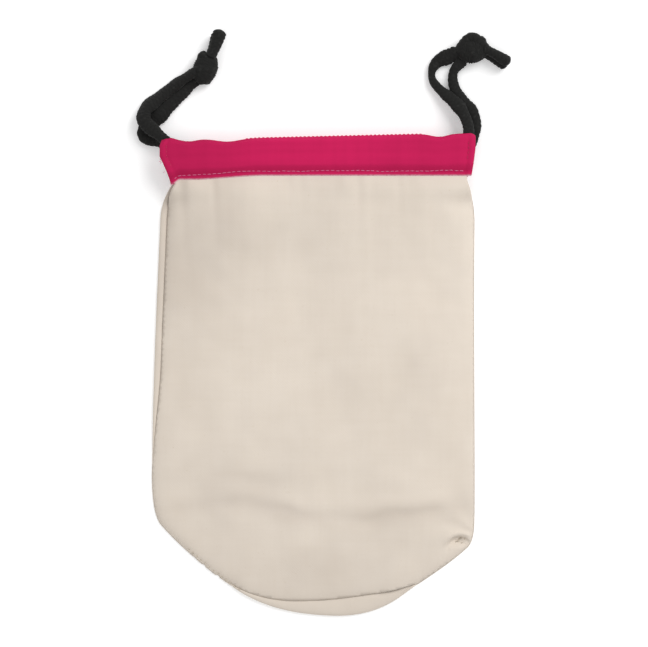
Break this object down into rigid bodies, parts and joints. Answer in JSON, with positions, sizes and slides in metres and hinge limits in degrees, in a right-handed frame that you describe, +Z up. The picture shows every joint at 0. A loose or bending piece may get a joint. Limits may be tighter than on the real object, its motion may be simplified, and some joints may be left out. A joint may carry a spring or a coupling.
{
  "type": "drawstring project bag",
  "caption": "Flat calico drawstring bag with a round end, a bright casing round its mouth and a knotted black drawcord at each side.",
  "frame": {"origin": "on the surface the bag lies on, under the middle of the pouch, its cords' free ends left out", "axes": "+X across the bag to the right, +Y from the round end to the mouth, +Z up through its thickness"},
  "size_m": [0.2317, 0.3649, 0.0181],
  "materials": {
    "calico": "unbleached plain-weave cotton, matte",
    "casing_cotton": "dyed plain-weave cotton, matte",
    "pink_thread": "spun polyester sewing thread",
    "ecru_thread": "spun cotton sewing thread",
    "black_cord": "soft knitted cotton cord, matte"
  },
  "bodies": {
    "bag": {"front_panel": "calico", "back_panel": "calico", "front_casing": "casing_cotton", "back_casing": "casing_cotton", "front_topstitch": "pink_thread", "back_topstitch": "pink_thread", "front_casing_left_hem": "pink_thread", "front_casing_right_hem": "pink_thread", "back_casing_left_hem": "pink_thread", "back_casing_right_hem": "pink_thread", "closing_seam_thread": "ecru_thread", "overlock_thread": "ecru_thread", "left_drawcord_far_turn": "black_cord", "right_drawcord_far_turn": "black_cord"},
    "left_drawcord": {"left_drawcord_front_run": "black_cord", "left_drawcord_back_run": "black_cord", "left_drawcord_front_leg": "black_cord", "left_drawcord_back_leg": "black_cord", "left_knot": "black_cord", "left_front_tail": "black_cord", "left_back_tail": "black_cord"},
    "right_drawcord": {"right_drawcord_front_run": "black_cord", "right_drawcord_back_run": "black_cord", "right_drawcord_front_leg": "black_cord", "right_drawcord_back_leg": "black_cord", "right_knot": "black_cord", "right_front_tail": "black_cord", "right_back_tail": "black_cord"}
  },
  "joints": [
    {"name": "left_pull", "type": "slide", "parent": "bag", "child": "left_drawcord", "axis": [-1, 0, 0], "range_m": [0, 0.085]},
    {"name": "right_pull", "type": "slide", "parent": "bag", "child": "right_drawcord", "axis": [1, 0, 0], "range_m": [0, 0.085]}
  ]
}
